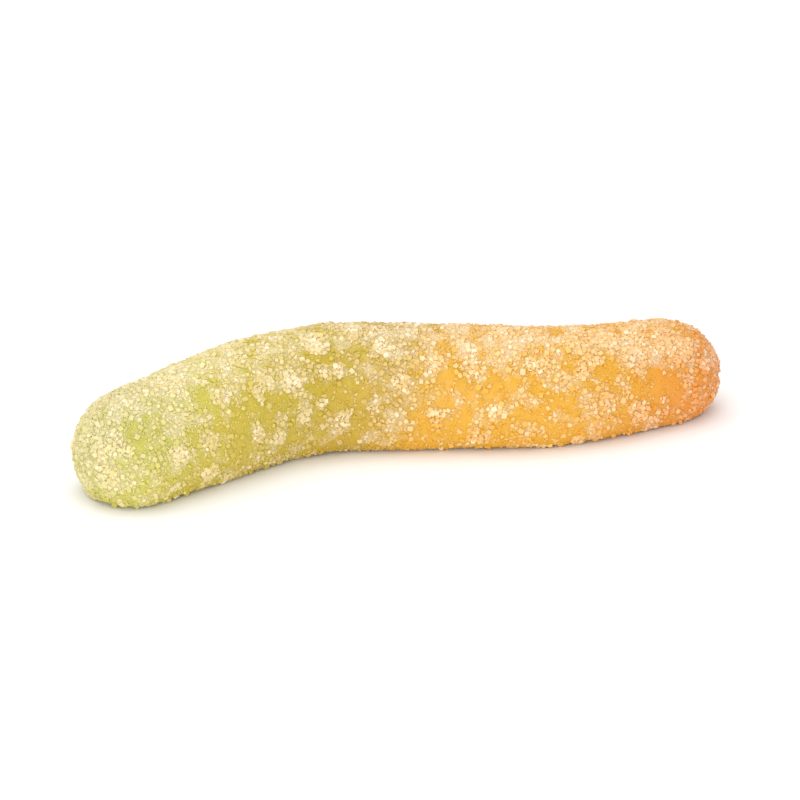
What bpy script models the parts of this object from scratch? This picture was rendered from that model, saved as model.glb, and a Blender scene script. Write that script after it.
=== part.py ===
"""A sugared jelly worm: one soft casting in two colours, lying in a lazy bend on its flat underside.

The body is a sphere drawn out along a bent middle line. Its section is domed above and pressed flat
below, as an open starch mould leaves it. The fine sugar is a grainy relief of the skin, and the
largest crystals are blocks joined to it. Metres, +Z up, the green end at -X and the yellow end at +X.
The origin is on the ground, in the middle of the worm's footprint.
"""

import math
import random

import bpy
from mathutils import Euler, Matrix, Vector, noise

MM = 0.001

# Middle line, seen from above, from the green tip to the yellow tip
LENGTH = 65.9 * MM
GREEN_TIP = Vector((-28.4, -13.22, 0.0)) * MM
MIDDLE_HEADING = math.radians(2.2)
GREEN_BEND = math.radians(40.6)
GREEN_BEND_SPAN = (14.4 * MM, 32.3 * MM)
YELLOW_BEND = math.radians(27.6)
YELLOW_BEND_SPAN = (41.8 * MM, 54.1 * MM)

# Section: widths and heights at even stations from the green tip to the yellow tip
WIDTHS = [11.1 * MM, 11.6 * MM, 11.5 * MM, 11.1 * MM, 10.2 * MM]
HEIGHTS = [9.7 * MM, 10.9 * MM, 11.2 * MM, 10.2 * MM, 8.6 * MM]
BELLY_SHARE = 0.36  # of the height, where the section is widest
DOME_ROUNDNESS = 2.15  # 2 is an ellipse, and more is squarer
UNDERSIDE_ROUNDNESS = 3.2
UNDERSIDE_PRESS = 1.12  # how far the free underside would sag past the ground, times the belly's height

# Rounded ends
GREEN_END = 4.6 * MM
YELLOW_END = 5.0 * MM
TIP_SHARE = 0.42  # of the height, where an end closes
END_RING_SHARE = 0.09  # of the rings, on each rounded end

# Skin
SIDES = 40
RINGS = 72
DENT_SIZE = 7.0 * MM
DENT_DEPTH = 0.22 * MM
GRAIN_SIZE = 1.3 * MM
GRAIN_DEPTH = 0.3 * MM

# Large sugar crystals
CRYSTALS = 200
CRYSTAL_SIZES = (0.7 * MM, 1.25 * MM)
CRYSTAL_WIDTH_SHARE = 0.82
CRYSTAL_THICKNESS_SHARE = 0.7
CRYSTAL_SPACING = 1.9 * MM
CRYSTAL_LEAST_HEIGHT = 1.3 * MM
CRYSTAL_SEED = 11

# Colours, linear, and the stretch along X where green melts into yellow
GREEN_JELLY = (0.56, 0.47, 0.11, 1.0)
YELLOW_JELLY = (0.83, 0.42, 0.08, 1.0)
COLOUR_JOIN = (-6.5 * MM, 1.5 * MM)
SUGARED_ROUGHNESS = 0.62
EDGE_ANGLE = math.radians(38)


def clear_scene():
    for thing in list(bpy.data.objects):
        bpy.data.objects.remove(thing)


def move_to(collection, thing):
    """Links the object to this collection, and takes it out of the others."""
    for other in list(thing.users_collection):
        other.objects.unlink(thing)
    collection.objects.link(thing)


def eased(value, start, end):
    """0 before start, 1 after end, and a smooth rise between them."""
    share = min(max((value - start) / (end - start), 0.0), 1.0)
    return share * share * (3 - 2 * share)


def between(stations, share):
    """A smooth value at a share of the length, from values at even stations."""
    place = share * (len(stations) - 1)
    first = min(int(place), len(stations) - 2)
    last = len(stations) - 1
    before, here, there, after = (stations[min(max(first + k, 0), last)] for k in (-1, 0, 1, 2))
    t = place - first
    leave, arrive = (there - before) / 2, (after - here) / 2
    rise = there - here
    return here + t * (leave + t * (3 * rise - 2 * leave - arrive + t * (leave + arrive - 2 * rise)))


def heading(run):
    """The middle line's direction at a distance along it, as an angle from +X."""
    green = GREEN_BEND * (1 - eased(run, *GREEN_BEND_SPAN))
    yellow = YELLOW_BEND * eased(run, *YELLOW_BEND_SPAN)
    return MIDDLE_HEADING + green + yellow


def middle_line(run, step=0.25 * MM):
    """The point of the middle line, on the ground, at a distance from the green tip."""
    steps = max(1, round(run / step))
    turns = [heading(run * (k + 0.5) / steps) for k in range(steps)]
    across, along = sum(map(math.cos, turns)), sum(map(math.sin, turns))
    return GREEN_TIP + Vector((across, along, 0.0)) * (run / steps)


def fullness(run):
    """How full the section is at a distance from the green tip: 1, and down to 0 at each tip."""
    green = max(0.0, 1 - run / GREEN_END)
    yellow = max(0.0, 1 - (LENGTH - run) / YELLOW_END)
    return math.sqrt(max(0.0, 1 - green**2)) * math.sqrt(max(0.0, 1 - yellow**2))


def bulge(part, roundness):
    """A sine or cosine made squarer, with its sign kept."""
    return math.copysign(abs(part) ** (2 / roundness), part)


def skin(run, middle, angle):
    """The point of the smooth skin at a distance along the worm and an angle round its section."""
    share = run / LENGTH
    height = between(HEIGHTS, share)
    belly = BELLY_SHARE * height
    if math.sin(angle) >= 0:
        side = bulge(math.cos(angle), DOME_ROUNDNESS)
        level = belly + (height - belly) * bulge(math.sin(angle), DOME_ROUNDNESS)
    else:
        side = bulge(math.cos(angle), UNDERSIDE_ROUNDNESS)
        level = belly + UNDERSIDE_PRESS * belly * bulge(math.sin(angle), UNDERSIDE_ROUNDNESS)
    side *= between(WIDTHS, share) / 2 * fullness(run)
    tip = TIP_SHARE * height
    turn = heading(run)
    sideways = Vector((math.sin(turn), -math.cos(turn), 0.0))
    return middle + side * sideways + Vector((0.0, 0.0, tip + (level - tip) * fullness(run)))


def relief(point):
    """How far the skin stands out at a point: soft dents, with the grain of fine sugar over them."""
    return DENT_DEPTH * noise.noise(point / DENT_SIZE) + GRAIN_DEPTH * noise.noise(point / GRAIN_SIZE)


def ring_run(share):
    """The distance from the green tip of a ring of the drawn-out sphere, with rings closer at the ends."""
    if share < END_RING_SHARE:
        return GREEN_END * (1 - math.cos(math.pi / 2 * share / END_RING_SHARE))
    if share > 1 - END_RING_SHARE:
        return LENGTH - YELLOW_END * (1 - math.cos(math.pi / 2 * (1 - share) / END_RING_SHARE))
    straight = (share - END_RING_SHARE) / (1 - 2 * END_RING_SHARE)
    return GREEN_END + straight * (LENGTH - GREEN_END - YELLOW_END)


def cast_body():
    """The worm's casting: a sphere whose poles become the two tips."""
    bpy.ops.mesh.primitive_uv_sphere_add(segments=SIDES, ring_count=RINGS, radius=1.0)
    body = bpy.context.object
    body.name = "gummy_worm"
    middles = {}
    for vertex in body.data.vertices:
        ring = round(math.acos(min(max(vertex.co.z, -1.0), 1.0)) / math.pi * RINGS)
        run = ring_run(ring / RINGS)
        if ring not in middles:
            middles[ring] = middle_line(run)
        middle = middles[ring]
        point = skin(run, middle, math.atan2(vertex.co.y, vertex.co.x))
        core = middle + Vector((0.0, 0.0, BELLY_SHARE * between(HEIGHTS, run / LENGTH)))
        point += (point - core).normalized() * relief(point)
        point.z = max(point.z, 0.0)
        vertex.co = point
    return body


def crystal_places():
    """Seeded places for the large crystals: all over the sides and the top, and no two close together."""
    draw = random.Random(CRYSTAL_SEED)
    places = []
    while len(places) < CRYSTALS:
        run = draw.uniform(0.0, LENGTH)
        place = skin(run, middle_line(run), draw.uniform(-math.pi, math.pi))
        apart = all((place - other).length > CRYSTAL_SPACING for other in places)
        if apart and place.z > CRYSTAL_LEAST_HEIGHT:
            places.append(place)
    return places


def sugar_crystals():
    """A collection of blocks, turned at random and half sunk in the skin."""
    draw = random.Random(CRYSTAL_SEED)
    crystals = bpy.data.collections.new("large sugar crystals")
    bpy.context.scene.collection.children.link(crystals)
    for place in crystal_places():
        length = draw.triangular(*CRYSTAL_SIZES, CRYSTAL_SIZES[0])
        sides = Vector((1.0, CRYSTAL_WIDTH_SHARE, CRYSTAL_THICKNESS_SHARE)) * length
        turn = Euler([draw.uniform(0.0, math.pi) for _ in sides])
        bpy.ops.mesh.primitive_cube_add(size=1.0)
        crystal = bpy.context.object
        crystal.data.transform(Matrix.LocRotScale(place, turn, sides))
        move_to(crystals, crystal)
    return crystals


def join_crystals(body, crystals):
    """Makes the casting and its crystals one closed skin, and removes the loose blocks."""
    union = body.modifiers.new("sugar", "BOOLEAN")
    union.operation = "UNION"
    union.operand_type = "COLLECTION"
    union.collection = crystals
    bpy.context.view_layer.objects.active = body
    bpy.ops.object.modifier_apply(modifier=union.name)
    for crystal in list(crystals.objects):
        bpy.data.objects.remove(crystal)
    bpy.data.collections.remove(crystals)


def two_colour_jelly():
    """Frosted jelly that melts from green to yellow a little way before the worm's middle."""
    material = bpy.data.materials.new("two_colour_jelly")
    material.use_nodes = True
    nodes, links = material.node_tree.nodes, material.node_tree.links
    shader = nodes["Principled BSDF"]
    shader.inputs["Roughness"].default_value = SUGARED_ROUGHNESS
    shader.inputs["Metallic"].default_value = 0.0
    place = nodes.new("ShaderNodeTexCoord")
    split = nodes.new("ShaderNodeSeparateXYZ")
    join = nodes.new("ShaderNodeMapRange")
    join.inputs["From Min"].default_value, join.inputs["From Max"].default_value = COLOUR_JOIN
    ramp = nodes.new("ShaderNodeValToRGB")
    ramp.color_ramp.elements[0].color = GREEN_JELLY
    ramp.color_ramp.elements[1].color = YELLOW_JELLY
    links.new(place.outputs["Object"], split.inputs["Vector"])
    links.new(split.outputs["X"], join.inputs["Value"])
    links.new(join.outputs["Result"], ramp.inputs["Fac"])
    links.new(ramp.outputs["Color"], shader.inputs["Base Color"])
    return material


def main():
    clear_scene()
    body = cast_body()
    join_crystals(body, sugar_crystals())
    body.data.shade_smooth()
    body.data.set_sharp_from_angle(angle=EDGE_ANGLE)
    body.data.materials.append(two_colour_jelly())
    worm = bpy.data.collections.new("gummy worm")
    bpy.context.scene.collection.children.link(worm)
    move_to(worm, body)


main()
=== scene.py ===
"""The looks of a sugared jelly worm: soft jelly in two colours under a coat of sugar crystals.

The jelly is drawn out straight, bent, and pressed flat below. The sugar is four kinds of crystal, each
modelled once and strewn over the jelly. Metres, +Z up, the green end at -X and the yellow end at +X.
"""

import math

import bmesh
import bpy
import numpy as np
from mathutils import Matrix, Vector, noise


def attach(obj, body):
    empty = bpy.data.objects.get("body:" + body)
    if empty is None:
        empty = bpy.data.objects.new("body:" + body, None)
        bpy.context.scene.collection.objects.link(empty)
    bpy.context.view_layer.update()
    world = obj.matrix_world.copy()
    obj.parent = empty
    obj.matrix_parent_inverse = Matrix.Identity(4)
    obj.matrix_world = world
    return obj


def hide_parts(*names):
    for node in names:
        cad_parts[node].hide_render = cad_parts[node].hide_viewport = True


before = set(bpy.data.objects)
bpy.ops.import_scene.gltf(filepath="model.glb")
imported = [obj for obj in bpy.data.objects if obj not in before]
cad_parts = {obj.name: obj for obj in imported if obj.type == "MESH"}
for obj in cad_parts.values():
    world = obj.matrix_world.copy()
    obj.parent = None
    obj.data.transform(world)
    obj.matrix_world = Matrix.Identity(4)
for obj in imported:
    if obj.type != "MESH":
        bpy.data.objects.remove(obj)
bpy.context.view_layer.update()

MM = 0.001

# Middle line, seen from above, from the green tip to the yellow tip
LENGTH = 65.9 * MM
GREEN_TIP = Vector((-28.4, -13.22, 0.0)) * MM
MIDDLE_HEADING = math.radians(2.2)
GREEN_BEND = math.radians(40.6)
GREEN_BEND_SPAN = (14.4 * MM, 32.3 * MM)
YELLOW_BEND = math.radians(27.6)
YELLOW_BEND_SPAN = (41.8 * MM, 54.1 * MM)

# Jelly section: widths and heights at even stations from the green tip to the yellow tip
WIDTHS = [11.1 * MM, 11.6 * MM, 11.5 * MM, 11.1 * MM, 10.2 * MM]
HEIGHTS = [9.7 * MM, 10.9 * MM, 11.2 * MM, 10.2 * MM, 8.6 * MM]
COAT = 0.17 * MM  # the jelly lies this far under the sugar's outer face
BELLY_SHARE = 0.36  # of the height, where the section is widest
UNDERSIDE_SAG = 1.5  # of the belly's height, before the underside is pressed flat
FLOOR_GAP = 0.3 * MM  # the crystals under the jelly hold it off the ground

# Jelly rings
SIDES = 24
GREEN_END = 4.6 * MM
YELLOW_END = 5.0 * MM
TIP_SHARE = 0.42  # of the height, where an end closes
END_ANGLES = [12, 30, 50, 70, 90]  # of an end's rings, in degrees from its tip
MIDDLE_RINGS = 18
HAIR = 0.001 * MM  # much less than the space between two rings
PAST_RING = 0.5 * MM  # far enough past a ring to leave it out
PLACE_DIGITS = 7  # of a place in metres, when points are sorted
SMOOTHING = 3
DENT_SIZE = 7.0 * MM
DENT_DEPTH = 0.3 * MM
LUMP_SIZE = 1.1 * MM
LUMP_DEPTH = 0.16 * MM

# Sugar crystals of each kind: how many at most, their sizes, the least space between them, how deep
# they sink, and the least cover that they keep on the barest jelly
BLOCKS = {"count": 4300, "sizes": (0.36 * MM, 0.62 * MM), "apart": 0.42 * MM, "sunk": 0.6, "least": 0.02}
PRISMS = {"count": 9700, "sizes": (0.26 * MM, 0.45 * MM), "apart": 0.25 * MM, "sunk": 0.56, "least": 0.08}
CHIPS = {"count": 12200, "sizes": (0.16 * MM, 0.3 * MM), "apart": 0.15 * MM, "sunk": 0.46, "least": 0.22}
SPECKS = {"count": 32000, "sizes": (0.08 * MM, 0.16 * MM), "apart": 0.07 * MM, "sunk": 0.36, "least": 0.5}
LARGE_CELL = 0.6 * MM  # of the grid that keeps blocks and prisms apart, wider than their spacing
CHIP_CELL = 0.2 * MM
SPECK_CELL = 0.1 * MM
SUGAR_SEED = 5
MOST_TILT = math.radians(23)
STRETCHES = (0.8, 1.2)  # of each crystal's sides, at random
GROUND_CLEARANCE = 0.01 * MM
SKIN_SAMPLES = 60000  # places tried for the clumps' crystals
TRIES_EACH = 5  # places tried for each strewn crystal

# Crystal shapes, about 1 across: sides, and how their ends or tops are drawn in and pushed along
BLOCK_SIDES = (1.0, 0.84, 0.74)
BLOCK_TOP = (0.8, 0.88, 1.0)
BLOCK_TOP_CENTRE = (0.08, 0.0, 0.5)
BLOCK_BROKEN = 0.15  # off each corner
PRISM_SIDES = 6
PRISM_RADIUS = 0.36
PRISM_END = (1.0, 0.62, 0.7)
PRISM_END_CENTRE = (0.5, 0.0, -0.1)
PRISM_UPPER_EDGE = 0.1
PRISM_SLANT = (0.22, 0.0, 0.0)
CHIP_SIDES = 5
CHIP_RADIUS = 0.5
CHIP_THICKNESS = 0.42
CHIP_TOP = (0.6, 0.76, 1.0)
CHIP_TOP_CENTRE = (0.12, 0.05, 0.2)
CHIP_CORNER = 0.2
CHIP_SKEW = (0.14, 0.0, 0.05)
SPECK_SIDES = 4
SPECK_RADIUS = 0.55
SPECK_HEIGHT = 0.8
SPECK_LEAN = (0.16, 0.1, 0.0)

# How thickly the sugar lies: 0 is bare jelly, 1 is well covered, and more is heaped
COVER = 0.62
# more sugar on top, less on the underside and more again on the ridge: partly sugar lying there, partly
# painted light from above, painted shade below and a painted pale sheen along the ridge
COVER_AND_LIGHT_ON_TOP = 0.32  # and as much less on the underside
COVER_AND_SHEEN_ON_RIDGE = 0.27
RIDGE_FADE = (0.8, 0.98)  # how far up the skin faces, where that change starts and is full
COVER_AT_GREEN_TIP = 0.1
COVER_ON_YELLOW = -0.14
# less sugar at the yellow tip, whose fewer white crystals are painted shade there
COVER_AND_SHADE_AT_YELLOW_TIP = -0.12
GREEN_TIP_FADE = (-17 * MM, -24 * MM)  # places along X, where each change of cover starts and is full
YELLOW_FADE = (0.0, 3 * MM)
YELLOW_TIP_FADE = (21 * MM, 27 * MM)
PATCHES = [(2.1 * MM, 0.75), (1.15 * MM, 0.75), (0.65 * MM, 0.5)]  # the size and strength of each sort
EVENNESS_AT_GREEN_TIP = 0.4
THINNING = 0.68
THIN_COVER = 0.3
MOST_COVER = 2.0
PATCH_REACH = 1.5  # how far out a patch or clump fades to nothing, in its own radius
RAGGEDNESS = 0.9  # of their edges, in their own radius
LOBES = 0.6 * MM

# The side in view, in mm in the view's plane: thin patches, each across, up and radius, and clumps,
# each across, up, radius and cover
THIN_PATCHES = [
    (-13.4, 3.4, 2.0), (-15.3, 1.2, 2.2), (-18.3, 5.2, 1.3), (-6.0, 5.2, 2.0), (-4.5, 4.7, 1.4),
    (-6.4, 8.6, 1.8), (-10.3, 3.9, 1.5), (-24.0, 1.6, 1.8), (-11.5, 5.0, 1.0), (4.0, 5.0, 0.9),
    (4.5, 6.9, 0.8), (7.2, 4.9, 1.0), (9.4, 6.1, 1.0), (10.9, 3.7, 0.9), (12.4, 6.4, 0.7),
    (2.4, 2.4, 1.1), (5.8, 2.2, 0.8), (19.2, 7.3, 1.0), (21.6, 5.8, 1.2), (23.8, 6.1, 1.3),
    (25.5, 5.7, 1.1), (28.4, 6.6, 0.8),
]
CLUMPS = [
    (-9.8, 6.5, 1.0, 2.0), (-12.4, 6.7, 0.8, 1.5), (-13.2, 5.6, 0.6, 1.4), (-8.3, 10.1, 0.9, 1.8),
    (-7.2, 9.6, 0.6, 1.4), (-6.9, 7.5, 0.6, 1.4), (-5.9, 7.6, 0.6, 1.3), (-1.6, 9.7, 0.8, 1.8),
    (-4.3, 11.0, 0.9, 1.4), (-13.1, 1.7, 0.7, 1.5), (-11.2, 1.6, 0.6, 1.4), (-9.0, 3.3, 0.7, 1.3),
    (-7.2, 4.5, 0.5, 1.3), (-5.4, 3.3, 0.8, 1.2), (-20.4, -0.1, 1.0, 1.5), (-26.4, 1.3, 0.6, 1.3),
    (-25.3, 0.2, 0.6, 1.2), (-21.6, 6.5, 1.3, 1.5), (-17.6, -1.9, 0.9, 1.3), (0.1, 6.4, 0.7, 1.3),
    (3.4, 8.5, 0.7, 1.1), (6.8, 7.8, 0.8, 1.2), (13.0, 8.1, 0.7, 1.1), (15.0, 6.7, 0.6, 1.1),
    (9.0, 3.5, 0.7, 1.3), (3.3, 3.5, 0.8, 1.0), (7.4, 1.4, 0.8, 1.0), (21.8, 9.3, 1.2, 1.2),
    (25.8, 8.8, 0.8, 1.2), (22.3, 3.9, 0.8, 1.0), (16.5, 10.0, 1.0, 1.1), (19.0, 10.6, 1.2, 1.2),
    (21.5, 10.9, 1.1, 1.2), (24.2, 10.4, 1.1, 1.2), (26.4, 9.7, 0.9, 1.1), (18.0, 8.8, 0.8, 1.0),
    (-27.3, 5.2, 0.9, 1.3), (-24.6, 6.4, 0.9, 1.2), (-29.0, 1.6, 0.8, 1.2), (-28.3, 3.4, 0.8, 1.1),
]
LEAST_FACING = 0.15  # how far the skin under a patch or clump faces the viewer: 1 is straight on
CLUMP_HEIGHT = 0.14 * MM
HEAPED_FROM = 0.4  # of a clump's fullness, 1 in its middle and 0 outside it
HEAP_TIGHTNESS = 0.75  # the space between heaped crystals, beside that between strewn ones
STRAY_CLUMPS = 40
STRAY_CLUMP_RADIUS = (0.5 * MM, 1.0 * MM)
STRAY_CLUMP_COVER = (0.9, 1.4)

# Jelly colours, linear, at shares of the way between two slanting planes, green side to yellow side; the
# deeper orange towards the yellow tip is partly the jelly's own colour and partly painted shade
COLOUR_SLANT = (1.0, 0.0, -0.5)
COLOUR_START = -33 * MM
COLOUR_END = 27 * MM
COLOUR_WANDER = 3.0 * MM
SWIRL_SCALE = 280.0
SWIRL_DETAIL = 2.0
JELLY_COLOURS_AND_TIP_SHADE = [
    (0.02, (0.46, 0.42, 0.08, 1.0)), (0.14, (0.59, 0.53, 0.085, 1.0)), (0.24, (0.6, 0.47, 0.04, 1.0)),
    (0.37, (0.54, 0.385, 0.02, 1.0)), (0.47, (0.55, 0.345, 0.015, 1.0)), (0.56, (0.74, 0.385, 0.012, 1.0)),
    (0.79, (0.78, 0.39, 0.01, 1.0)), (0.89, (0.78, 0.345, 0.008, 1.0)), (0.98, (0.77, 0.265, 0.006, 1.0)),
]
JELLY_ROUGHNESS = (0.28, 0.7)  # bare, and under the thickest dust
SCATTER_WEIGHT = 0.6
SCATTER_RADIUS = (1.0, 0.6, 0.15)
SCATTER_DEPTH = 1.2 * MM
SUGAR_WHITE = (0.93, 0.795, 0.57, 1.0)
LONE_WHITENESS = 0.03  # how much of the white a crystal on bare jelly shows over the jelly's colour
HEAPED_WHITENESS = 0.7  # the same, of a crystal in the thickest sugar
WHITER_AT_RANDOM = 0.45  # how much more of it the whitest crystals show
WHITEST_FEW = 4.0  # the power that leaves only a few crystals near the whitest
SUGAR_ROUGHNESS = (0.14, 0.5)  # from the clearest crystals to the most frosted
SUGAR_IOR = 1.54
DUST_ON_BARE = 0.05  # how much the finest sugar pales the bare jelly
# where the sugar is thick, the jelly between the crystals is paled partly by fine dust and partly by painted
# light, the light that clear crystals would let into the gaps
DUST_AND_GAP_LIGHT_WHERE_THICK = 0.9  # the same, where the cover is DUSTY_COVER or more
DUSTY_COVER = 1.3
DUST_BETWEEN = 0.6  # of that, between the finest grains
DUST_GRAIN_SCALE = 5200.0
DUST_GRAIN_EDGE = (0.45, 0.1)  # the distances from a grain's middle where it ends, and where it is full
DRIFT_SCALE = 900.0
DRIFT_DETAIL = 3.0
DRIFT_EDGE = (0.35, 0.65)  # the drifts' noise where the dust starts, and where it is full
DUST_HEIGHT = 0.05 * MM
DUST_RELIEF = 0.6

# Camera, at the photograph's height and side, and light
CAMERA_ELEVATION = math.radians(22)
CAMERA_DISTANCE = 0.7
CAMERA_AIM = Vector((0.0, 0.0, 5.2 * MM))
VIEW_WIDTH = 74 * MM
SENSOR_WIDTH = 36.0
CLIP_START = 0.01
CLIP_END = 20.0
WHITE = (1.0, 1.0, 1.0, 1.0)
SKY_STRENGTH = 0.78
SOFTBOX_PLACE = Vector((-0.1, 0.05, 0.6))
SOFTBOX_SIZE = 0.6
SOFTBOX_POWER = 1.8
FILL_PLACE = Vector((-0.22, -0.68, 0.13))
FILL_SIZE = 0.5
FILL_POWER = 3.5

# Floor
FLOOR_SIZE = 8.0
FLOOR_COLOUR = (0.93, 0.93, 0.93, 1.0)
FLOOR_ROUGHNESS = 0.9


def eased(value, start, end):
    """0 before start, 1 after end, and a smooth rise between them."""
    share = min(max((value - start) / (end - start), 0.0), 1.0)
    return share * share * (3 - 2 * share)


def between(stations, share):
    """A smooth value at a share of the length, from values at even stations."""
    place = share * (len(stations) - 1)
    first = min(int(place), len(stations) - 2)
    last = len(stations) - 1
    before, here, there, after = (stations[min(max(first + k, 0), last)] for k in (-1, 0, 1, 2))
    t = place - first
    leave = (there - before) / 2
    arrive = (after - here) / 2
    rise = there - here
    return here + t * (leave + t * (3 * rise - 2 * leave - arrive + t * (leave + arrive - 2 * rise)))


def heading(run):
    """The middle line's direction at a distance along it, as an angle from +X."""
    green = GREEN_BEND * (1 - eased(run, *GREEN_BEND_SPAN))
    yellow = YELLOW_BEND * eased(run, *YELLOW_BEND_SPAN)
    return MIDDLE_HEADING + green + yellow


def ring_runs():
    """The distances of the jelly's rings from the green tip, closer together on the rounded ends."""
    green = [GREEN_END * (1 - math.cos(math.radians(angle))) for angle in END_ANGLES]
    yellow = [LENGTH - YELLOW_END * (1 - math.cos(math.radians(angle))) for angle in reversed(END_ANGLES)]
    step = (yellow[0] - green[-1]) / (MIDDLE_RINGS + 1)
    middle = [green[-1] + step * (k + 1) for k in range(MIDDLE_RINGS)]
    return green + middle + yellow


def ring_shape(run):
    """The half width, dome height and middle height of the ring at a distance from the green tip."""
    share = run / LENGTH
    green = max(0.0, 1 - run / GREEN_END)
    yellow = max(0.0, 1 - (LENGTH - run) / YELLOW_END)
    fullness = math.sqrt(1 - green**2) * math.sqrt(1 - yellow**2)
    height = between(HEIGHTS, share)
    belly = BELLY_SHARE * height
    tip = TIP_SHARE * height
    half_width = (between(WIDTHS, share) / 2 - COAT) * fullness
    dome = (height - belly - COAT) * fullness
    return half_width, dome, tip + (belly - tip) * fullness


def pick(piece, wanted):
    """Selects, in edit mode, only the points whose place wanted() agrees to."""
    cage = bmesh.from_edit_mesh(piece.data)
    for point in cage.verts:
        point.select = wanted(point.co)
    cage.select_flush_mode()
    bmesh.update_edit_mesh(piece.data)


def apply_all(piece):
    """Applies the piece's modifiers, first to last."""
    bpy.context.view_layer.objects.active = piece
    for modifier in list(piece.modifiers):
        bpy.ops.object.modifier_apply(modifier=modifier.name)


def in_order(mesh):
    """The mesh's points and faces, sorted by place. The modelling tools list them anew in each run."""
    places = [tuple(round(value, PLACE_DIGITS) for value in point.co) for point in mesh.vertices]
    order = sorted(range(len(places)), key=places.__getitem__)
    ranks = {number: rank for rank, number in enumerate(order)}
    faces = []
    for face in mesh.polygons:
        corners = [ranks[number] for number in face.vertices]
        first = corners.index(min(corners))
        faces.append(corners[first:] + corners[:first])
    return [mesh.vertices[number].co.copy() for number in order], sorted(faces)


def straight_jelly(runs):
    """The jelly drawn out straight along +X, one ring at a time, from a flattened disc at the green tip."""
    half_width, dome, middle = ring_shape(runs[0])
    place = Vector((runs[0], 0.0, middle))
    bpy.ops.object.select_all(action="DESELECT")
    bpy.ops.mesh.primitive_circle_add(
        vertices=SIDES, radius=dome, fill_type="NGON", location=place, rotation=(0.0, math.radians(90), 0.0)
    )
    jelly = bpy.context.object
    jelly.name = "jelly"
    bpy.ops.object.transform_apply(location=True, rotation=True, scale=True)
    bpy.ops.object.mode_set(mode="EDIT")
    bpy.ops.transform.resize(value=(1.0, half_width / dome, 1.0), center_override=place)
    belly_share = BELLY_SHARE * UNDERSIDE_SAG / (1 - BELLY_SHARE)
    pick(jelly, lambda point: point.z < place.z - HAIR)
    bpy.ops.transform.resize(value=(1.0, 1.0, belly_share), center_override=place)
    bpy.ops.mesh.select_all(action="SELECT")
    for run in runs[1:]:
        wider, taller, raised = ring_shape(run)
        step = Vector((run, 0.0, raised)) - place
        place = place + step
        bpy.ops.mesh.extrude_region_move(TRANSFORM_OT_translate={"value": step})
        bpy.ops.transform.resize(value=(1.0, wider / half_width, taller / dome), center_override=place)
        half_width, dome = wider, taller
    return jelly


def bend_jelly(jelly, runs):
    """Bends the straight jelly at each ring in turn, from the far end back, and sets it in its place."""
    turns = [heading(run) for run in runs]
    for run, before, after in reversed(list(zip(runs[1:], turns, turns[1:]))):
        pivot = Vector((run, 0.0, 0.0))
        half = (after - before) / 2
        pick(jelly, lambda point: point.x > run - HAIR)
        turn_about_z(half, pivot)
        pick(jelly, lambda point: point.x > run + PAST_RING)
        turn_about_z(half, pivot)
    bpy.ops.mesh.select_all(action="SELECT")
    turn_about_z(turns[0], Vector((0.0, 0.0, 0.0)))
    bpy.ops.transform.translate(value=GREEN_TIP)


def turn_about_z(angle, pivot):
    """Turns the selection, anticlockwise from above. With no window the operator counts the other way."""
    bpy.ops.transform.rotate(value=-angle, orient_axis="Z", orient_type="GLOBAL", center_override=pivot)


def press_underside(jelly):
    """Presses everything below the floor gap flat, as the open mould leaves it."""
    floor = Vector((0.0, 0.0, FLOOR_GAP))
    bpy.ops.object.mode_set(mode="EDIT")
    pick(jelly, lambda point: point.z < FLOOR_GAP)
    bpy.ops.transform.resize(value=(1.0, 1.0, 0.0), center_override=floor)
    bpy.ops.object.mode_set(mode="OBJECT")


def roughen(jelly, name, size, depth):
    """Pushes the jelly's skin in and out in soft lumps of about one size."""
    lumps = bpy.data.textures.new(name, "CLOUDS")
    lumps.noise_scale = size
    lumps.noise_depth = 1
    push = jelly.modifiers.new(name, "DISPLACE")
    push.texture = lumps
    push.texture_coords = "LOCAL"
    push.strength = depth
    push.mid_level = 0.5


def model_jelly():
    """The worm's jelly: drawn out, bent, smoothed, pressed flat below and made a little lumpy."""
    runs = ring_runs()
    jelly = straight_jelly(runs)
    bend_jelly(jelly, runs)
    bpy.ops.mesh.select_all(action="SELECT")
    bpy.ops.mesh.normals_make_consistent(inside=False)
    bpy.ops.object.mode_set(mode="OBJECT")
    points, faces = in_order(jelly.data)
    jelly.data.clear_geometry()
    jelly.data.from_pydata(points, [], faces)
    smooth = jelly.modifiers.new("smooth", "SUBSURF")
    smooth.levels = SMOOTHING
    smooth.render_levels = SMOOTHING
    apply_all(jelly)
    press_underside(jelly)
    roughen(jelly, "dents", DENT_SIZE, DENT_DEPTH)
    roughen(jelly, "lumps", LUMP_SIZE, LUMP_DEPTH)
    apply_all(jelly)
    jelly.data.shade_smooth()
    return jelly


def take_shape(piece):
    """The points and the faces of a crystal's mesh, as a pattern for its copies. The crystal is removed."""
    bpy.ops.object.mode_set(mode="OBJECT")
    points, faces = in_order(piece.data)
    bpy.data.objects.remove(piece)
    return np.array(points), faces


def model_block():
    """A stubby crystal: a block a little narrower at the top, with its corners broken off."""
    bpy.ops.object.select_all(action="DESELECT")
    bpy.ops.mesh.primitive_cube_add(size=1.0)
    block = bpy.context.object
    bpy.ops.object.mode_set(mode="EDIT")
    pick(block, lambda point: point.z > 0)
    bpy.ops.transform.resize(value=BLOCK_TOP, center_override=BLOCK_TOP_CENTRE)
    bpy.ops.mesh.select_all(action="SELECT")
    bpy.ops.transform.resize(value=BLOCK_SIDES, center_override=(0.0, 0.0, 0.0))
    bpy.ops.mesh.bevel(offset=BLOCK_BROKEN, affect="VERTICES", segments=1)
    return take_shape(block)


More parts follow.
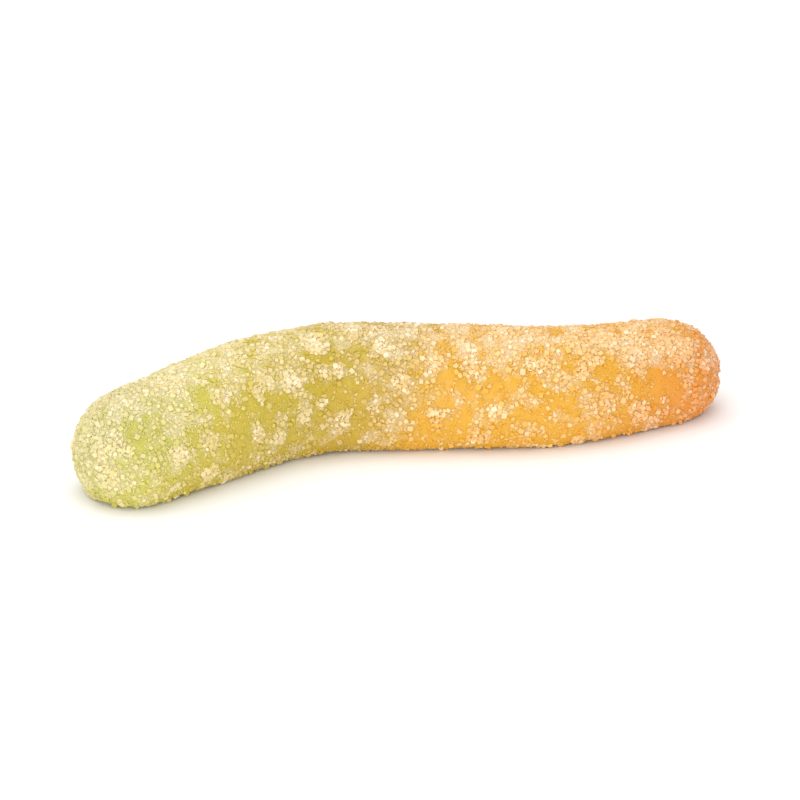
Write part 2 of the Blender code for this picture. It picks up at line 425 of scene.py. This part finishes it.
def model_prism():
    """A long crystal with six sides, one end slanting and the other drawn in."""
    bpy.ops.object.select_all(action="DESELECT")
    lying = (0.0, math.radians(90), 0.0)
    bpy.ops.mesh.primitive_cylinder_add(
        vertices=PRISM_SIDES, radius=PRISM_RADIUS, depth=1.0, rotation=lying
    )
    prism = bpy.context.object
    bpy.ops.object.transform_apply(location=True, rotation=True, scale=True)
    bpy.ops.object.mode_set(mode="EDIT")
    pick(prism, lambda point: point.x > 0)
    bpy.ops.transform.resize(value=PRISM_END, center_override=PRISM_END_CENTRE)
    pick(prism, lambda point: point.x < 0 and point.z > PRISM_UPPER_EDGE)
    bpy.ops.transform.translate(value=PRISM_SLANT)
    return take_shape(prism)


def model_chip():
    """A flat broken flake with five edges."""
    bpy.ops.object.select_all(action="DESELECT")
    bpy.ops.mesh.primitive_cylinder_add(vertices=CHIP_SIDES, radius=CHIP_RADIUS, depth=CHIP_THICKNESS)
    chip = bpy.context.object
    bpy.ops.object.mode_set(mode="EDIT")
    pick(chip, lambda point: point.z > 0)
    bpy.ops.transform.resize(value=CHIP_TOP, center_override=CHIP_TOP_CENTRE)
    pick(chip, lambda point: point.x > CHIP_CORNER)
    bpy.ops.transform.translate(value=CHIP_SKEW)
    return take_shape(chip)


def model_speck():
    """A grain of sugar dust: a crooked pyramid."""
    bpy.ops.object.select_all(action="DESELECT")
    bpy.ops.mesh.primitive_cone_add(
        vertices=SPECK_SIDES, radius1=SPECK_RADIUS, radius2=0.0, depth=SPECK_HEIGHT
    )
    speck = bpy.context.object
    bpy.ops.object.mode_set(mode="EDIT")
    pick(speck, lambda point: point.z > 0)
    bpy.ops.transform.translate(value=SPECK_LEAN)
    return take_shape(speck)


def seen_places(places):
    """Where places are in the view's plane: across and up from the middle of the worm's base."""
    toward = places[:, 2] * math.sin(CAMERA_ELEVATION) - places[:, 1] * math.cos(CAMERA_ELEVATION)
    up = places[:, 1] * math.sin(CAMERA_ELEVATION) + places[:, 2] * math.cos(CAMERA_ELEVATION)
    nearer = CAMERA_DISTANCE / (CAMERA_DISTANCE - toward)
    return np.column_stack((places[:, 0] * nearer, up * nearer))


def skin_under(marks, places, outs):
    """The marks, in metres, with the skin seen nearest to each in place of its across and up."""
    viewer = np.array((0.0, -math.cos(CAMERA_ELEVATION), math.sin(CAMERA_ELEVATION)))
    shown = places[outs @ viewer > LEAST_FACING]
    seen = seen_places(shown)
    nearest = [np.hypot(*(seen - np.array(mark[:2]) * MM).T).argmin() for mark in marks]
    return [(shown[number], mark[2] * MM, *mark[3:]) for number, mark in zip(nearest, marks)]


def nearness(places, ragged, centre, radius):
    """1 at places well inside a ragged patch, and down to 0 at those a little outside it."""
    away = np.linalg.norm(places - centre, axis=1) / radius
    return np.clip(PATCH_REACH - away - ragged, 0.0, 1.0)


def sugar_cover(places, outs, thin_patches, clumps):
    """How thickly the sugar lies at each place of the skin, with painted light on top, painted shade below
    and painted shade at the yellow tip worked in.
    """
    patches = np.array([uneven(Vector(place)) for place in places])
    ragged = raggedness(places)
    green_tip = faded(places[:, 0], *GREEN_TIP_FADE)
    # More cover on top and on the ridge and less below: partly sugar lying there, partly painted light from
    # above, painted shade below and a painted pale sheen on the ridge
    cover = COVER + COVER_AND_LIGHT_ON_TOP * outs[:, 2] + patches * (1 - EVENNESS_AT_GREEN_TIP * green_tip)
    cover += COVER_AND_SHEEN_ON_RIDGE * faded(outs[:, 2], *RIDGE_FADE)
    cover += COVER_AT_GREEN_TIP * green_tip
    cover += COVER_ON_YELLOW * faded(places[:, 0], *YELLOW_FADE)
    # less sugar at the yellow tip: fewer white crystals there, as painted shade
    cover += COVER_AND_SHADE_AT_YELLOW_TIP * faded(places[:, 0], *YELLOW_TIP_FADE)
    for centre, radius in thin_patches:
        cover -= THINNING * nearness(places, ragged, centre, radius)
    for centre, radius, thickness in clumps:
        near = nearness(places, ragged, centre, radius)
        cover = np.maximum(cover, cover + (thickness - cover) * near)
    return np.clip(cover, 0.0, MOST_COVER)


def faded(values, start, end):
    """0 before start, 1 past end, and a straight rise between them, for each value."""
    return np.clip((values - start) / (end - start), 0.0, 1.0)


def raggedness(places):
    """How far a patch's edge draws in at each place, as a share of its radius."""
    return RAGGEDNESS * np.array([noise.noise(Vector(place) / LOBES) for place in places])


def uneven(place):
    """The sugar's own unevenness at a place: patches, with smaller and smaller ones among them, about 0."""
    return sum(share * noise.noise(place / size) for size, share in PATCHES)


class Spacing:
    """Keeps crystals apart: it says whether a place is free, and remembers the places taken."""

    def __init__(self, cell):
        self.cell = cell
        self.taken = {}

    def cell_of(self, place):
        return tuple(int(part // self.cell) for part in place)

    def free(self, place, apart):
        across, along, up = self.cell_of(place)
        for x in (-1, 0, 1):
            for y in (-1, 0, 1):
                for z in (-1, 0, 1):
                    near = self.taken.get((across + x, along + y, up + z), ())
                    if any((place - other).length_squared < apart * apart for other in near):
                        return False
        return True

    def take(self, place):
        self.taken.setdefault(self.cell_of(place), []).append(place)


def skin_samples(jelly, count, draw):
    """Random places spread evenly over the jelly's skin, with the way out at each."""
    mesh = jelly.data
    mesh.calc_loop_triangles()
    points = np.empty(len(mesh.vertices) * 3)
    mesh.vertices.foreach_get("co", points)
    outs = np.empty(len(mesh.vertices) * 3)
    mesh.vertices.foreach_get("normal", outs)
    corners = np.empty(len(mesh.loop_triangles) * 3, np.int32)
    mesh.loop_triangles.foreach_get("vertices", corners)
    corners = corners.reshape(-1, 3)
    points = points.reshape(-1, 3)[corners]
    outs = outs.reshape(-1, 3)[corners]
    areas = np.linalg.norm(np.cross(points[:, 1] - points[:, 0], points[:, 2] - points[:, 0]), axis=1)
    chosen = draw.choice(len(areas), size=count, p=areas / areas.sum())
    shares = draw.dirichlet((1.0, 1.0, 1.0), size=count)[:, :, None]
    places = (points[chosen] * shares).sum(axis=1)
    ways_out = (outs[chosen] * shares).sum(axis=1)
    return places, ways_out / np.linalg.norm(ways_out, axis=1, keepdims=True)


def strew(jelly, kind, count, draw, spacing, cover_at):
    """Places for one kind of crystal, thick where the sugar is thick, and none too close to another."""
    places, outs = skin_samples(jelly, kind["count"] * TRIES_EACH, draw)
    cover = cover_at(places, outs)
    kept = []
    for number in np.flatnonzero(draw.random(len(places)) < np.maximum(cover, kind["least"])):
        place = Vector(places[number])
        if spacing.free(place, kind["apart"]):
            spacing.take(place)
            kept.append(number)
        if len(kept) == count:
            break
    return places[kept], outs[kept], cover[kept]


def heap(jelly, clumps, kind, draw, spacing, cover_at):
    """Places for the crystals of the ragged clumps, on each other, and highest in the middle of each."""
    places, outs = skin_samples(jelly, SKIN_SAMPLES, draw)
    ragged = raggedness(places)
    kept = []
    for centre, radius, _ in clumps:
        near = nearness(places, ragged, centre, radius)
        for number in np.flatnonzero(near > HEAPED_FROM):
            lifted = Vector(places[number] + outs[number] * CLUMP_HEIGHT * near[number] * draw.random())
            if spacing.free(lifted, HEAP_TIGHTNESS * kind["apart"]):
                spacing.take(lifted)
                places[number] = lifted
                kept.append(number)
    return places[kept], outs[kept], cover_at(places[kept], outs[kept])


def note_on_points(mesh, name, values):
    """Keeps a value for each point of a mesh, for its material to read."""
    mesh.attributes.new(name, "FLOAT", "POINT").data.foreach_set("value", values)


def copies(name, shape, kind, places, outs, thickness, draw):
    """One piece made of copies of a crystal, each turned, tilted and sized at random and partly sunk."""
    points, faces = shape
    count = len(places)
    sizes = draw.triangular(kind["sizes"][0], kind["sizes"][0], kind["sizes"][1], count)
    tilt = np.tan(MOST_TILT) * draw.uniform(-1, 1, (count, 3))
    up = outs + tilt
    up /= np.linalg.norm(up, axis=1, keepdims=True)
    side = np.cross(up, draw.normal(size=(count, 3)))
    side /= np.linalg.norm(side, axis=1, keepdims=True)
    front = np.cross(up, side)
    stretch = draw.uniform(*STRETCHES, (count, 3)) * sizes[:, None]
    tall = points[:, 2].max() - points[:, 2].min()
    centre = places + outs * (sizes * tall * (0.5 - kind["sunk"]))[:, None]
    axes = np.stack([side, front, up], axis=1) * stretch[:, :, None]
    cloud = centre[:, None, :] + np.einsum("pk,nkc->npc", points, axes)
    lift = np.maximum(0.0, GROUND_CLEARANCE - cloud[:, :, 2].min(axis=1))
    cloud[:, :, 2] += lift[:, None]
    corners = np.concatenate([np.array(face) for face in faces])
    lengths = np.array([len(face) for face in faces])
    corners = (corners[None, :] + np.arange(count)[:, None] * len(points)).ravel()
    lengths = np.tile(lengths, count)
    mesh = bpy.data.meshes.new(name)
    mesh.vertices.add(count * len(points))
    mesh.vertices.foreach_set("co", cloud.ravel())
    mesh.loops.add(len(corners))
    mesh.loops.foreach_set("vertex_index", corners)
    mesh.polygons.add(len(lengths))
    mesh.polygons.foreach_set("loop_start", np.cumsum(lengths) - lengths)
    mesh.update(calc_edges=True)
    mesh.shade_flat()
    note_on_points(mesh, "tone", np.repeat(draw.random(count), len(points)))
    note_on_points(mesh, "thickness", np.repeat(thickness, len(points)))
    piece = bpy.data.objects.new(name, mesh)
    bpy.context.scene.collection.objects.link(piece)
    return piece


def node(tree, kind, **settings):
    """A new node of the tree, with settings such as a noise's scale given by the socket's name."""
    made = tree.nodes.new(kind)
    for name, value in settings.items():
        made.inputs[name.replace("_", " ")].default_value = value
    return made


def remap(tree, before=(0.0, 1.0), after=(0.0, 1.0)):
    """A node that carries values from one range over to another."""
    made = node(tree, "ShaderNodeMapRange")
    made.inputs["From Min"].default_value, made.inputs["From Max"].default_value = before
    made.inputs["To Min"].default_value, made.inputs["To Max"].default_value = after
    return made


def operate(tree, kind, operation):
    """A node that does a sum, such as ADD."""
    made = node(tree, kind)
    made.operation = operation
    return made


def attribute(tree, name):
    """A node that reads a value kept on the points."""
    made = node(tree, "ShaderNodeAttribute")
    made.attribute_name = name
    return made


def jelly_colour_and_tip_shade_group():
    """The jelly's colour: green, then yellow, then a deeper yellow towards the yellow tip that is partly
    painted shade, with an uneven join.
    """
    group = bpy.data.node_groups.new("jelly colour", "ShaderNodeTree")
    group.interface.new_socket("Colour", in_out="OUTPUT", socket_type="NodeSocketColor")
    links = group.links
    place = node(group, "ShaderNodeTexCoord")
    slant = operate(group, "ShaderNodeVectorMath", "DOT_PRODUCT")
    slant.inputs[1].default_value = COLOUR_SLANT
    swirl = node(group, "ShaderNodeTexNoise", Scale=SWIRL_SCALE, Detail=SWIRL_DETAIL)
    wander = remap(group, after=(-COLOUR_WANDER, COLOUR_WANDER))
    along = operate(group, "ShaderNodeMath", "ADD")
    share = remap(group, before=(COLOUR_START, COLOUR_END))
    ramp = node(group, "ShaderNodeValToRGB")
    stops = ramp.color_ramp.elements
    stops[0].position, stops[0].color = JELLY_COLOURS_AND_TIP_SHADE[0]
    stops[1].position, stops[1].color = JELLY_COLOURS_AND_TIP_SHADE[-1]
    for position, colour in JELLY_COLOURS_AND_TIP_SHADE[1:-1]:
        stops.new(position).color = colour
    out = node(group, "NodeGroupOutput")
    links.new(place.outputs["Object"], slant.inputs[0])
    links.new(place.outputs["Object"], swirl.inputs["Vector"])
    links.new(swirl.outputs["Fac"], wander.inputs["Value"])
    links.new(slant.outputs["Value"], along.inputs[0])
    links.new(wander.outputs["Result"], along.inputs[1])
    links.new(along.outputs["Value"], share.inputs["Value"])
    links.new(share.outputs["Result"], ramp.inputs["Fac"])
    links.new(ramp.outputs["Color"], out.inputs["Colour"])
    return group


def dusting_group():
    """The finest sugar, too small to model: a mask of how it pales what it lies on, partly painted light
    where the amount given is high, and the dust's height.
    """
    group = bpy.data.node_groups.new("sugar dusting", "ShaderNodeTree")
    group.interface.new_socket("Amount", in_out="INPUT", socket_type="NodeSocketFloat")
    group.interface.new_socket("Mask", in_out="OUTPUT", socket_type="NodeSocketFloat")
    group.interface.new_socket("Height", in_out="OUTPUT", socket_type="NodeSocketFloat")
    links = group.links
    into = node(group, "NodeGroupInput")
    place = node(group, "ShaderNodeTexCoord")
    grains = node(group, "ShaderNodeTexVoronoi", Scale=DUST_GRAIN_SCALE)
    drifts = node(group, "ShaderNodeTexNoise", Scale=DRIFT_SCALE, Detail=DRIFT_DETAIL)
    spots = remap(group, before=DUST_GRAIN_EDGE)
    mask = operate(group, "ShaderNodeMath", "MULTIPLY")
    patchy = remap(group, before=DRIFT_EDGE)
    lying = operate(group, "ShaderNodeMath", "MULTIPLY")
    film = remap(group, after=(DUST_BETWEEN, 1.0))
    out = node(group, "NodeGroupOutput")
    links.new(place.outputs["Object"], grains.inputs["Vector"])
    links.new(place.outputs["Object"], drifts.inputs["Vector"])
    links.new(grains.outputs["Distance"], spots.inputs["Value"])
    links.new(drifts.outputs["Fac"], patchy.inputs["Value"])
    links.new(spots.outputs["Result"], lying.inputs[0])
    links.new(patchy.outputs["Result"], lying.inputs[1])
    links.new(lying.outputs["Value"], film.inputs["Value"])
    links.new(film.outputs["Result"], mask.inputs[0])
    links.new(into.outputs["Amount"], mask.inputs[1])
    links.new(mask.outputs["Value"], out.inputs["Mask"])
    links.new(lying.outputs["Value"], out.inputs["Height"])
    return group


def new_material(name):
    """An empty material with its Principled shader: (material, node tree, shader)."""
    material = bpy.data.materials.new(name)
    material.use_nodes = True
    return material, material.node_tree, material.node_tree.nodes["Principled BSDF"]


def placed_group(tree, group):
    """The shared group, placed in a material."""
    made = tree.nodes.new("ShaderNodeGroup")
    made.node_tree = group
    return made


def jelly_material(colours, dusting):
    """Soft translucent jelly, paled and roughened where the finest sugar lies; where the sugar is thick the
    paling is partly painted light between the crystals.
    """
    material, tree, shader = new_material("sugared_jelly")
    links = tree.links
    jelly = placed_group(tree, colours)
    dust = placed_group(tree, dusting)
    thickness = attribute(tree, "thickness")
    # the paling grows with the cover: fine dust, and where the sugar is thick also painted light between the
    # crystals
    amount = remap(tree, before=(THIN_COVER, DUSTY_COVER), after=(DUST_ON_BARE, DUST_AND_GAP_LIGHT_WHERE_THICK))
    paled = node(tree, "ShaderNodeMix")
    paled.data_type = "RGBA"
    paled.inputs["B"].default_value = SUGAR_WHITE
    gloss = remap(tree, after=JELLY_ROUGHNESS)
    bump = node(tree, "ShaderNodeBump", Distance=DUST_HEIGHT, Strength=DUST_RELIEF)
    links.new(thickness.outputs["Fac"], amount.inputs["Value"])
    links.new(amount.outputs["Result"], dust.inputs["Amount"])
    links.new(dust.outputs["Mask"], paled.inputs["Factor"])
    links.new(jelly.outputs["Colour"], paled.inputs["A"])
    links.new(paled.outputs["Result"], shader.inputs["Base Color"])
    links.new(dust.outputs["Mask"], gloss.inputs["Value"])
    links.new(gloss.outputs["Result"], shader.inputs["Roughness"])
    links.new(dust.outputs["Height"], bump.inputs["Height"])
    links.new(bump.outputs["Normal"], shader.inputs["Normal"])
    shader.inputs["Subsurface Weight"].default_value = SCATTER_WEIGHT
    shader.inputs["Subsurface Radius"].default_value = SCATTER_RADIUS
    shader.inputs["Subsurface Scale"].default_value = SCATTER_DEPTH
    return material


def sugar_material(colours):
    """Clear-edged sugar: the jelly's colour shows through each crystal, more through some than others."""
    material, tree, shader = new_material("sugar")
    links = tree.links
    jelly = placed_group(tree, colours)
    tone = attribute(tree, "tone")
    thickness = attribute(tree, "thickness")
    # Thicker sugar is whiter, so this whiteness also carries the painted light on top, the painted shade
    # below and the painted shade at the yellow tip
    whiter = remap(tree, before=(THIN_COVER, MOST_COVER), after=(LONE_WHITENESS, HEAPED_WHITENESS))
    rarely = operate(tree, "ShaderNodeMath", "POWER")
    rarely.inputs[1].default_value = WHITEST_FEW
    whiteness = operate(tree, "ShaderNodeMath", "MULTIPLY_ADD")
    whiteness.inputs[1].default_value = WHITER_AT_RANDOM
    colour = node(tree, "ShaderNodeMix")
    colour.data_type = "RGBA"
    colour.inputs["B"].default_value = SUGAR_WHITE
    links.new(thickness.outputs["Fac"], whiter.inputs["Value"])
    links.new(tone.outputs["Fac"], rarely.inputs[0])
    links.new(rarely.outputs["Value"], whiteness.inputs[0])
    links.new(whiter.outputs["Result"], whiteness.inputs[2])
    links.new(whiteness.outputs["Value"], colour.inputs["Factor"])
    links.new(jelly.outputs["Colour"], colour.inputs["A"])
    links.new(colour.outputs["Result"], shader.inputs["Base Color"])
    frosting = remap(tree, after=SUGAR_ROUGHNESS)
    links.new(tone.outputs["Fac"], frosting.inputs["Value"])
    links.new(frosting.outputs["Result"], shader.inputs["Roughness"])
    shader.inputs["IOR"].default_value = SUGAR_IOR
    return material


def floor_material():
    """Pale matt paper."""
    material, _, shader = new_material("pale floor")
    shader.inputs["Base Color"].default_value = FLOOR_COLOUR
    shader.inputs["Roughness"].default_value = FLOOR_ROUGHNESS
    return material


def lay_floor():
    """A wide pale floor under the worm."""
    bpy.ops.object.select_all(action="DESELECT")
    bpy.ops.mesh.primitive_plane_add(size=FLOOR_SIZE)
    floor = bpy.context.object
    floor.name = "floor"
    floor.data.materials.append(floor_material())


def aim(thing, target):
    """Turns a lamp or the camera to face a target."""
    thing.rotation_euler = (target - thing.location).to_track_quat("-Z", "Y").to_euler()


def add_softbox(name, place, size, power):
    """A wide square lamp that faces the worm."""
    lamp = bpy.data.lights.new(name, "AREA")
    lamp.size = size
    lamp.energy = power
    softbox = bpy.data.objects.new(name, lamp)
    bpy.context.scene.collection.objects.link(softbox)
    softbox.location = place
    aim(softbox, CAMERA_AIM)


def light_worm():
    """A big soft light overhead, a low one a little to the viewer's left, and a pale sky."""
    add_softbox("overhead", SOFTBOX_PLACE, SOFTBOX_SIZE, SOFTBOX_POWER)
    add_softbox("fill", FILL_PLACE, FILL_SIZE, FILL_POWER)
    world = bpy.data.worlds.new("pale sky")
    world.use_nodes = True
    world.node_tree.nodes["Background"].inputs["Color"].default_value = WHITE
    world.node_tree.nodes["Background"].inputs["Strength"].default_value = SKY_STRENGTH
    bpy.context.scene.world = world


def set_camera():
    """A long lens at the photograph's angle, with the worm filling most of the frame."""
    lens = bpy.data.cameras.new("camera")
    lens.sensor_width = SENSOR_WIDTH
    lens.lens = SENSOR_WIDTH * CAMERA_DISTANCE / VIEW_WIDTH
    lens.clip_start = CLIP_START
    lens.clip_end = CLIP_END
    camera = bpy.data.objects.new("camera", lens)
    bpy.context.scene.collection.objects.link(camera)
    away = Vector((0.0, -math.cos(CAMERA_ELEVATION), math.sin(CAMERA_ELEVATION)))
    camera.location = CAMERA_AIM + away * CAMERA_DISTANCE
    aim(camera, CAMERA_AIM)
    bpy.context.scene.camera = camera
    bpy.context.scene.view_settings.view_transform = "Standard"


def coat_with_sugar(jelly, material):
    """Strews each kind of crystal over the jelly, a piece for each kind, and notes the cover on the jelly."""
    draw = np.random.default_rng(SUGAR_SEED)
    places, outs = skin_samples(jelly, SKIN_SAMPLES, draw)
    thin_patches = skin_under(THIN_PATCHES, places, outs)
    clumps = skin_under(CLUMPS, places, outs)
    for place in places[:STRAY_CLUMPS]:
        clumps.append((place, draw.uniform(*STRAY_CLUMP_RADIUS), draw.uniform(*STRAY_CLUMP_COVER)))

    def cover_at(places, outs):
        return sugar_cover(places, outs, thin_patches, clumps)

    skin = np.array([point.co for point in jelly.data.vertices])
    ways_out = np.array([point.normal for point in jelly.data.vertices])
    note_on_points(jelly.data, "thickness", cover_at(skin, ways_out))
    large = Spacing(LARGE_CELL)
    kinds = [
        ("sugar_blocks", model_block(), BLOCKS, large),
        ("sugar_prisms", model_prism(), PRISMS, large),
        ("sugar_chips", model_chip(), CHIPS, Spacing(CHIP_CELL)),
        ("sugar_specks", model_speck(), SPECKS, Spacing(SPECK_CELL)),
    ]
    for name, shape, kind, spacing in kinds:
        heaped = heap(jelly, clumps, kind, draw, spacing, cover_at)
        strewn = strew(jelly, kind, kind["count"] - len(heaped[0]), draw, spacing, cover_at)
        lying = [np.concatenate(both) for both in zip(heaped, strewn)]
        piece = copies(name, shape, kind, *lying, draw)
        piece.data.materials.append(material)
        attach(piece, "root")


def main():
    set_camera()
    light_worm()
    lay_floor()
    colours = jelly_colour_and_tip_shade_group()
    jelly = model_jelly()
    jelly.data.materials.append(jelly_material(colours, dusting_group()))
    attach(jelly, "root")
    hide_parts("gummy_worm")
    coat_with_sugar(jelly, sugar_material(colours))


main()
